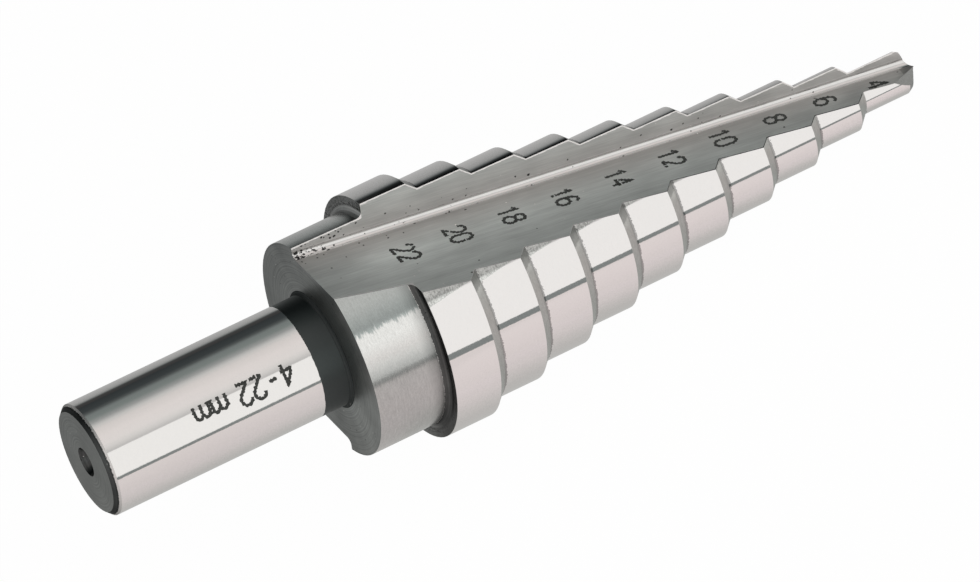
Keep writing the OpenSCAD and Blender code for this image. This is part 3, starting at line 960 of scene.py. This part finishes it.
# floor and light
studio = {
    "floorColour": (0.9, 0.89, 0.88), "floorSize": 3.0, "cameraGlow": 0.98,
    # under the shank: a factor, what is added, and the millimetres over which both end
    "underShank": 0.88, "shankLift": 0.05, "shankBlend": 2.0,
    # what steel mirrors of the floor: degrees from straight below the axis, counted to the back, and its level
    "floorBands": [(-88.5, 0.878, 0.81, 0.798), (-75, 0.844, 0.776, 0.768), (-67, 0.816, 0.755, 0.744),
                   (-59, 0.807, 0.744, 0.741), (-51, 0.773, 0.717, 0.711), (-43, 0.749, 0.7, 0.69),
                   (-35, 0.699, 0.659, 0.649), (-27, 0.653, 0.626, 0.611), (-11, 0.572, 0.559, 0.543),
                   (5, 0.537, 0.533, 0.517), (25, 0.513, 0.513, 0.504), (38, 0.479, 0.479, 0.475),
                   (47, 0.471, 0.471, 0.466), (55, 0.449, 0.449, 0.445), (63, 0.419, 0.424, 0.419),
                   (71, 0.369, 0.373, 0.369), (75.5, 0.29, 0.3, 0.295), (78.5, 0.17, 0.18, 0.18),
                   (81, 0.05, 0.055, 0.055), (83.5, 0.012, 0.014, 0.014), (90, 0.0)],
    # how far a mirror image slides along the drill for each millimetre off it, and how that grows towards the point
    "slide": 0.327, "slideGain": 1.17,
    # the point of the drill that mirrors a place on the floor, in radii: to the side and up from the axis,
    # first for places in front, then for those behind, which start at backFrom
    "mirrorSide": (0.95, -0.68), "mirrorUp": (0.15, 0.73), "backFrom": 0.45,
    # light around the drill: degrees from the camera's side, counted towards the floor, and its level
    "bands": [(-180, 0.4), (-122, 0.03, 0.035, 0.037), (-96, 0.05, 0.058, 0.06), (-90, 0.09, 0.1, 0.1),
              (-83, 0.2, 0.225, 0.22), (-73, 0.23, 0.26, 0.25), (-64, 0.37, 0.38, 0.375), (-56, 0.64, 0.635, 0.62),
              (-48, 0.78, 0.74, 0.72), (-32, 0.87, 0.82, 0.8), (-16, 0.87, 0.83, 0.81), (-8, 0.79, 0.77, 0.75),
              (-3, 0.7, 0.685, 0.67), (1.4, 0.6, 0.59, 0.58), (2.2, 1.03, 1.02, 1.0), (56, 1.03, 1.02, 1.0),
              (57, 0.86, 0.79, 0.77), (90, 0.8, 0.75, 0.73), (120, 0.7, 0.68, 0.66), (180, 0.4)],
    # a dark line at the lower edge of the bright band; its start, the later of two, and its end are
    # spreads of degrees over the ray's lean along the axis, in thousandths from the axis' own
    "line": (0.25, 0.27, 0.265), "lineStart": (40.0, 72.0, 52.7, 58.2), "thinFrom": (58.0, 65.0, 50.0, 59.25),
    "lineEnd": (27.0, 30.0, 58.6, 90.0),
}


def makeWorld(s):
    world = bpy.data.worlds.new("studioWorld")
    bpy.context.scene.world = world
    world.use_nodes = True
    tree = world.node_tree
    tree.nodes.clear()
    ray = addNode(tree, "ShaderNodeTexCoord").outputs["Generated"]
    turn = calc(tree, "DEGREES", calc(tree, "ARCTAN2", dot(tree, ray, sideRow), dot(tree, ray, facingRow)))
    bands = rampOf(tree, turn, -180.0, 180.0, s["bands"])
    lean = times(tree, dot(tree, ray, axisDir), 1000.0)
    lean = minus(tree, lean, 1000 * math.sin(math.radians(cameraView["axisAway"])))
    start = calc(tree, "MAXIMUM", spread(tree, lean, *s["lineStart"]), spread(tree, lean, *s["thinFrom"]))
    line = times(tree, above(tree, turn, start), below(tree, turn, spread(tree, lean, *s["lineEnd"])))
    bands = blendColour(tree, line, bands, s["line"])
    cameraRay = addNode(tree, "ShaderNodeLightPath").outputs["Is Camera Ray"]
    back = addNode(tree, "ShaderNodeBackground", blendColour(tree, cameraRay, bands, (1, 1, 1)))
    addNode(tree, "ShaderNodeOutputWorld", back.outputs[0])


def makeFloor(s):
    size, z = s["floorSize"], cadBox[0][2]
    mesh = bpy.data.meshes.new("studioFloor")
    mesh.from_pydata([(-size, -size, z), (size, -size, z), (size, size, z), (-size, size, z)], [], [(0, 1, 2, 3)])
    floor = addObject("studioFloor", mesh)
    material, tree, _ = newMaterial("studioFloor")
    tree.nodes.clear()
    # how far along the drill the steel is that mirrors this place
    x, y, _ = separate(tree, addNode(tree, "ShaderNodeTexCoord").outputs["Object"])
    high = minus(tree, times(tree, x, -upDir[0]), z * upDir[2])
    reach = vectorCalc(tree, "LENGTH", combine(tree, y, high))
    along = plus(tree, times(tree, x, axisDir[0]), z * axisDir[2] + drill["originZ"] / 1000)
    along = minus(tree, along, times(tree, reach, s["slide"]))
    along = calc(tree, "DIVIDE", along, plus(tree, times(tree, reach, s["slideGain"]), 1.0))
    along = times(tree, along, 1000.0)
    taper = spread(tree, along, marks["bodyZ"], marks["cornerZ"], marks["largestR"] / 1000, drill["pilotD"] / 2000)
    blend = s["shankBlend"] / 2
    body = spread(tree, along, drill["shankL"] - blend, drill["shankL"] + blend)
    radius = fade(tree, body, drill["shankD"] / 2000, taper)
    behind = above(tree, y, times(tree, radius, s["backFrom"]))
    across = plus(tree, y, times(tree, radius, fade(tree, behind, *s["mirrorSide"])))
    height = plus(tree, high, times(tree, radius, fade(tree, behind, *s["mirrorUp"])))
    angle = calc(tree, "DEGREES", calc(tree, "ARCTAN2", across, height))
    bands = rampOf(tree, angle, -90.0, 90.0, s["floorBands"])
    bands = scaled(tree, bands, fade(tree, body, s["underShank"], 1.0))
    bands = vectorCalc(tree, "ADD", bands, scaled(tree, (1, 1, 1), fade(tree, body, s["shankLift"], 0.0)))
    # the camera sees it white, steel sees the bands, and it keeps a trace of its shadow
    path = addNode(tree, "ShaderNodeLightPath").outputs
    share = calc(tree, "MAXIMUM", times(tree, path["Is Camera Ray"], s["cameraGlow"]), path["Is Glossy Ray"])
    diffuse = addNode(tree, "ShaderNodeBsdfDiffuse", (*s["floorColour"], 1))
    glow = addNode(tree, "ShaderNodeEmission", blendColour(tree, path["Is Camera Ray"], bands, (1, 1, 1)))
    mix = addNode(tree, "ShaderNodeMixShader", share, diffuse.outputs[0], glow.outputs[0])
    addNode(tree, "ShaderNodeOutputMaterial", mix.outputs[0])
    mesh.materials.append(material)


makeWorld(studio)
makeFloor(studio)
bpy.context.scene.view_settings.view_transform = "Standard"
print("studio made")
